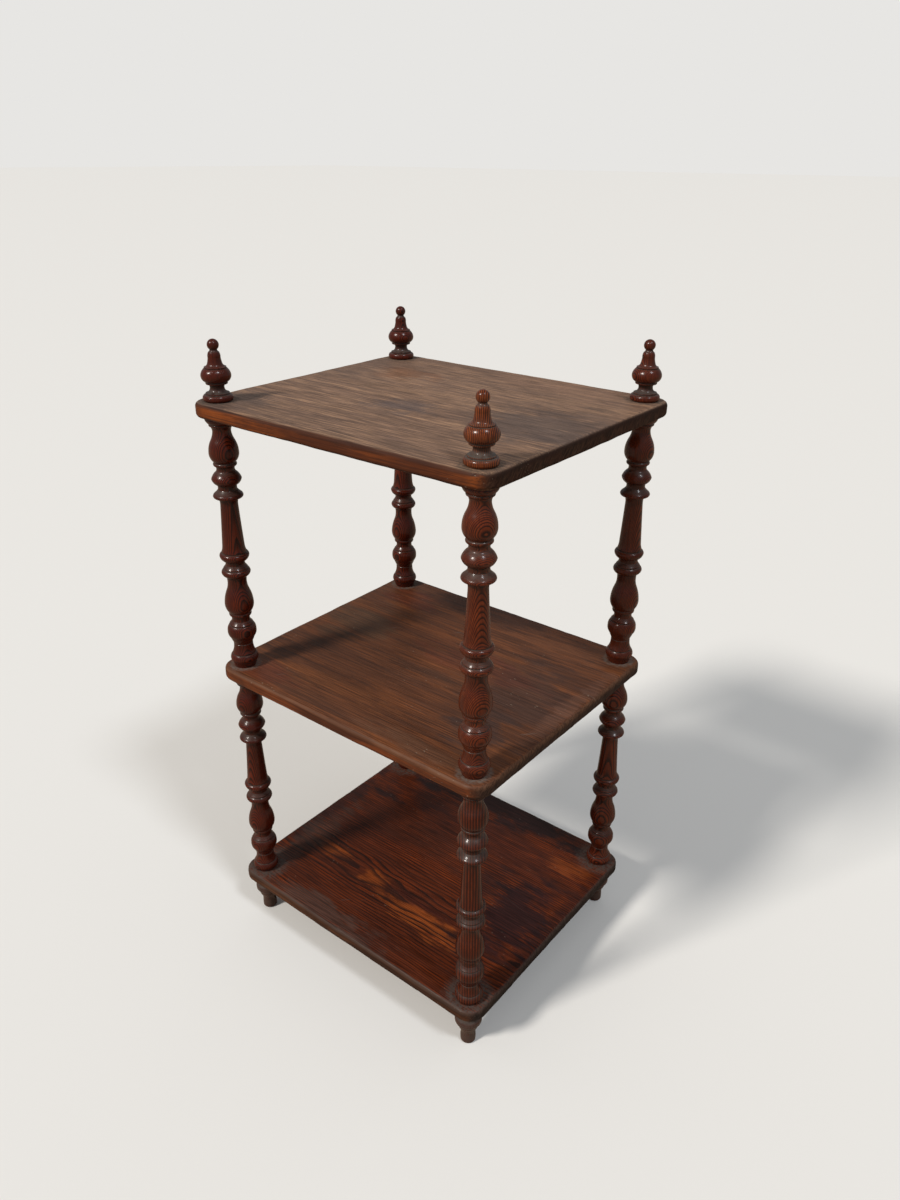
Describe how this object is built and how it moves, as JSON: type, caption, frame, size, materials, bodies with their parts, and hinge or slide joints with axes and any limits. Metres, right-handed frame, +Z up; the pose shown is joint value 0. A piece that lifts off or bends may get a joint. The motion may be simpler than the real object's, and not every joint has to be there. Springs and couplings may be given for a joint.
{
  "type": "etagere",
  "caption": "Free-standing whatnot with rectangular shelves on turned corner spindles, peg feet below and ball-topped finials above.",
  "frame": {"origin": "on the floor, under the centre of the boards", "axes": "+Z up; +X along the boards' length and grain; front faces -Y"},
  "size_m": [0.452, 0.39, 0.88],
  "materials": {
    "bottom_board": "stained pitch pine, red brown, semi gloss",
    "middle_board": "stained pitch pine, worn brown, satin",
    "top_board": "stained pitch pine, dry grey brown",
    "turned_wood": "stained and varnished pitch pine, gloss"
  },
  "bodies": {
    "root": {"bottom_board": "bottom_board", "middle_board": "middle_board", "top_board": "top_board", "foot_front_left": "turned_wood", "foot_front_right": "turned_wood", "foot_back_right": "turned_wood", "foot_back_left": "turned_wood", "lower_spindle_front_left": "turned_wood", "lower_spindle_front_right": "turned_wood", "lower_spindle_back_right": "turned_wood", "lower_spindle_back_left": "turned_wood", "upper_spindle_front_left": "turned_wood", "upper_spindle_front_right": "turned_wood", "upper_spindle_back_right": "turned_wood", "upper_spindle_back_left": "turned_wood", "finial_front_left": "turned_wood", "finial_front_right": "turned_wood", "finial_back_right": "turned_wood", "finial_back_left": "turned_wood"}
  },
  "joints": []
}
